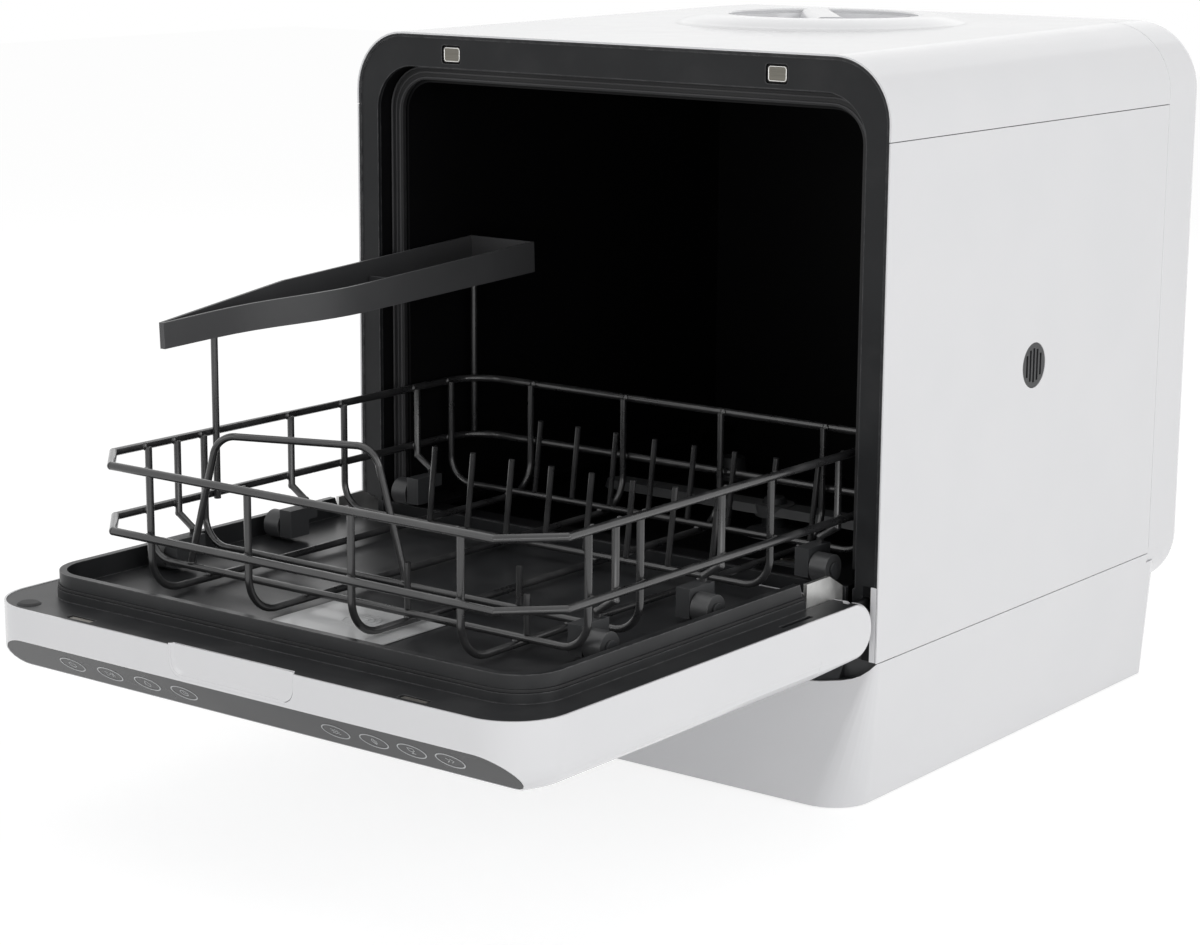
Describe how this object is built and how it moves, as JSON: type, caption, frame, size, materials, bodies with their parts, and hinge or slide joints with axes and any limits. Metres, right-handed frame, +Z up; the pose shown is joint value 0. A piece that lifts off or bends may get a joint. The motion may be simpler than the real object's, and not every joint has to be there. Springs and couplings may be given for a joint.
{
  "type": "countertop dishwasher",
  "caption": "Countertop dishwasher: drafted base, white cabinet with fold-down door, and a coated wire basket that leaves with the door; cutlery tray, spray arm and fill cap.",
  "frame": {"origin": "centre of the footprint of the whole part, door open, on the surface it stands on", "axes": "+Z up, -Y towards the opened door, +X to the right seen from the front"},
  "size_m": [0.42, 0.7714, 0.4755],
  "materials": {
    "shell": "gloss white moulding",
    "dark_trim": "satin charcoal moulding",
    "tub_liner": "black moulded liner",
    "soft_rubber": "matt elastomer",
    "stainless": "brushed",
    "zinc_steel": "zinc plated sheet",
    "motor_body": "grey painted housing",
    "grey_plastic": "grey moulding",
    "tank_plastic": "pale blow moulding",
    "board": "circuit board laminate",
    "lens_plastic": "smoked gloss strip",
    "key_print": "pale printed outline",
    "lid_plastic": "light grey lid",
    "wire_coat": "satin nylon coating over steel wire",
    "tray_plastic": "satin charcoal moulding"
  },
  "bodies": {
    "cabinet": {"top_cover": "shell", "side_panels": "shell", "rear_cover": "shell", "base_shell": "shell", "base_sill": "dark_trim", "bottom_plate": "grey_plastic", "rubber_feet": "soft_rubber", "front_bezel": "dark_trim", "wash_tub": "tub_liner", "mouth_gasket": "soft_rubber", "strike_plates": "stainless", "side_vent": "dark_trim", "fan_housing": "grey_plastic", "inlet_well": "shell", "fill_duct": "grey_plastic", "water_tank": "tank_plastic", "sump_bowl": "tub_liner", "filter_mesh": "stainless", "spray_post": "dark_trim", "float_switch": "dark_trim", "wash_pump": "motor_body", "drain_pump": "motor_body", "flow_heater": "stainless", "pump_hoses": "soft_rubber", "inlet_valve": "dark_trim", "drain_port": "dark_trim", "power_board": "board", "cord_gland": "soft_rubber", "cabinet_screws": "zinc_steel", "hinge_brackets": "zinc_steel", "hinge_pins": "zinc_steel", "hinge_springs": "zinc_steel"},
    "fan_rotor": {"fan_rotor": "grey_plastic"},
    "inlet_cap": {"inlet_cap": "shell"},
    "filter_cup": {"filter_cup": "grey_plastic"},
    "spray_arm": {"spray_arm": "grey_plastic"},
    "door": {"door_shell": "shell", "door_panel": "dark_trim", "rim_seal": "soft_rubber", "control_lens": "lens_plastic", "touch_keys": "key_print", "display_board": "board", "grip_pad": "shell", "dispenser_cup": "dark_trim", "latch_tongues": "stainless", "hinge_arms": "zinc_steel", "panel_plug": "soft_rubber"},
    "dispenser_lid": {"dispenser_lid": "lid_plastic"},
    "front_rollers": {"front_rollers": "grey_plastic"},
    "basket": {"roller_brackets": "dark_trim", "basket_rails": "wire_coat", "basket_uprights": "wire_coat", "basket_floor": "wire_coat", "plate_tines": "wire_coat", "glass_hoop": "wire_coat", "tray_posts": "wire_coat"},
    "middle_rollers": {"middle_rollers": "grey_plastic"},
    "rear_rollers": {"rear_rollers": "grey_plastic"},
    "cutlery_tray": {"cutlery_tray": "tray_plastic"}
  },
  "joints": [
    {"name": "door_hinge", "type": "hinge", "parent": "cabinet", "child": "door", "pos_m": [0, -0.05455, 0.13175], "axis": [-1, 0, 0], "range_deg": [0, 90]},
    {"name": "basket_travel", "type": "slide", "parent": "door", "child": "front_rollers", "axis": [0, 0.9502, 0.3118], "range_m": [0, 0.20209]},
    {"name": "basket_level", "type": "hinge", "parent": "front_rollers", "child": "basket", "pos_m": [0, -0.2683, 0.1535], "axis": [-1, 0, 0], "range_deg": [-90, 0]},
    {"name": "middle_roller_spin", "type": "hinge", "parent": "basket", "child": "middle_rollers", "pos_m": [0, -0.1663, 0.1535], "axis": [1, 0, 0], "continuous": true},
    {"name": "rear_roller_spin", "type": "hinge", "parent": "basket", "child": "rear_rollers", "pos_m": [0, -0.0413, 0.1535], "axis": [1, 0, 0], "continuous": true},
    {"name": "tray_lift", "type": "slide", "parent": "basket", "child": "cutlery_tray", "axis": [0, 0, 1], "range_m": [0, 0.06]},
    {"name": "dispenser_slide", "type": "slide", "parent": "door", "child": "dispenser_lid", "axis": [1, 0, 0], "range_m": [0, 0.085]},
    {"name": "spray_spin", "type": "hinge", "parent": "cabinet", "child": "spray_arm", "pos_m": [0, 0.1582, 0.126], "axis": [0, 0, 1], "continuous": true},
    {"name": "filter_turn", "type": "hinge", "parent": "cabinet", "child": "filter_cup", "pos_m": [0.06, 0.0667, 0.112], "axis": [0, 0, 1], "range_deg": [0, 45]},
    {"name": "inlet_cap_lift", "type": "slide", "parent": "cabinet", "child": "inlet_cap", "axis": [0, 0, 1], "range_m": [0, 0.04]},
    {"name": "fan_spin", "type": "hinge", "parent": "cabinet", "child": "fan_rotor", "pos_m": [0.196, 0.1417, 0.259], "axis": [1, 0, 0], "continuous": true}
  ],
  "couplings": [
    {"joint": "basket_travel", "follows": "door_hinge", "m_per_rad": 0.12864},
    {"joint": "basket_level", "follows": "door_hinge", "ratio": -1}
  ]
}
